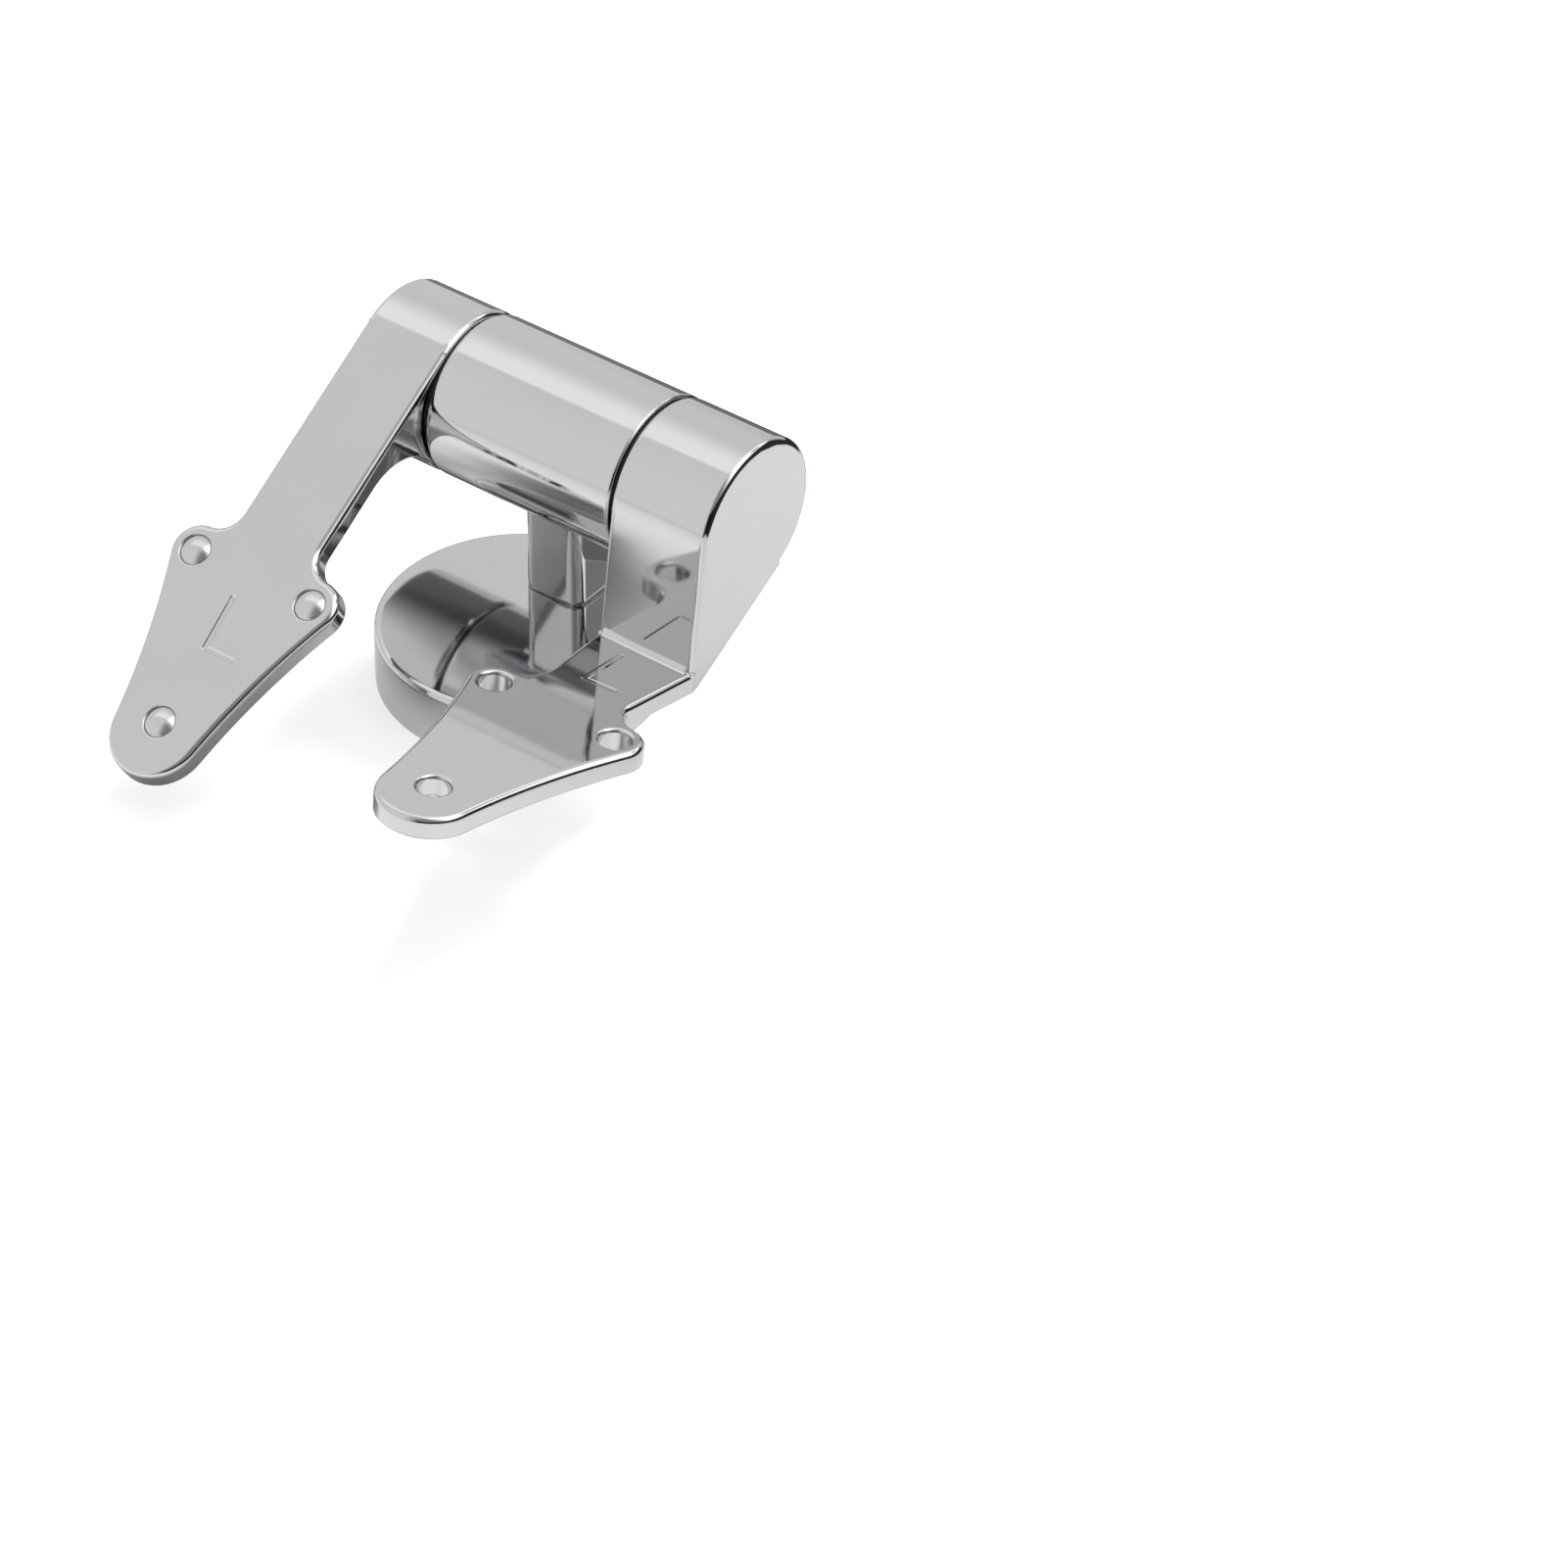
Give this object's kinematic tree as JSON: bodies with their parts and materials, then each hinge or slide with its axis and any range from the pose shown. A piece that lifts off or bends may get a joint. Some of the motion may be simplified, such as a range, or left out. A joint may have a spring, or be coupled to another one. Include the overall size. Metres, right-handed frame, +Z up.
{
  "type": "soft-close toilet seat hinge",
  "caption": "Chromed soft-close toilet seat hinge, left-hand: round base disc, post and barrel with dampers, a lid leaf and a seat leaf with screw holes",
  "frame": {"origin": "centre of the base disc's underside, at the mouth of the fixing thread", "axes": "+X along the barrel towards the seat leaf, -Y towards the noses of the leaves, +Z up from the pan"},
  "size_m": [0.1016, 0.107, 0.062],
  "materials": {
    "polished_chrome": "polished chrome plating",
    "grip_rubber": "matt moulded rubber",
    "zinc_plated_steel": "bright zinc plating",
    "blackened_steel": "black oxide",
    "damper_plastic": "glass-filled nylon",
    "cover_plastic": "natural acetal",
    "seal_rubber": "nitrile rubber",
    "rotor_steel": "machined steel",
    "washer_plastic": "black acetal"
  },
  "bodies": {
    "base": {"base_disc": "polished_chrome", "base_grip_ring": "grip_rubber", "barrel_housing": "polished_chrome", "post_screw": "zinc_plated_steel", "post_spring_washer": "zinc_plated_steel", "lid_damper_case": "damper_plastic", "lid_damper_cover": "cover_plastic", "lid_damper_seal": "seal_rubber", "lid_bearing_washer": "washer_plastic", "seat_damper_case": "damper_plastic", "seat_damper_cover": "cover_plastic", "seat_damper_seal": "seal_rubber", "seat_bearing_washer": "washer_plastic"},
    "lid": {"lid_leaf": "polished_chrome", "lid_hole_plugs": "polished_chrome", "lid_damper_rotor": "rotor_steel", "lid_set_screw": "blackened_steel"},
    "seat": {"seat_leaf": "polished_chrome", "seat_damper_rotor": "rotor_steel", "seat_set_screw": "blackened_steel"}
  },
  "joints": [
    {"name": "lid_hinge", "type": "hinge", "parent": "base", "child": "lid", "pos_m": [0, 0.0146, 0.046], "axis": [-1, 0, 0], "range_deg": [0, 132]},
    {"name": "seat_hinge", "type": "hinge", "parent": "base", "child": "seat", "pos_m": [0, 0.0146, 0.046], "axis": [-1, 0, 0], "range_deg": [-7.5, 92.5]}
  ]
}
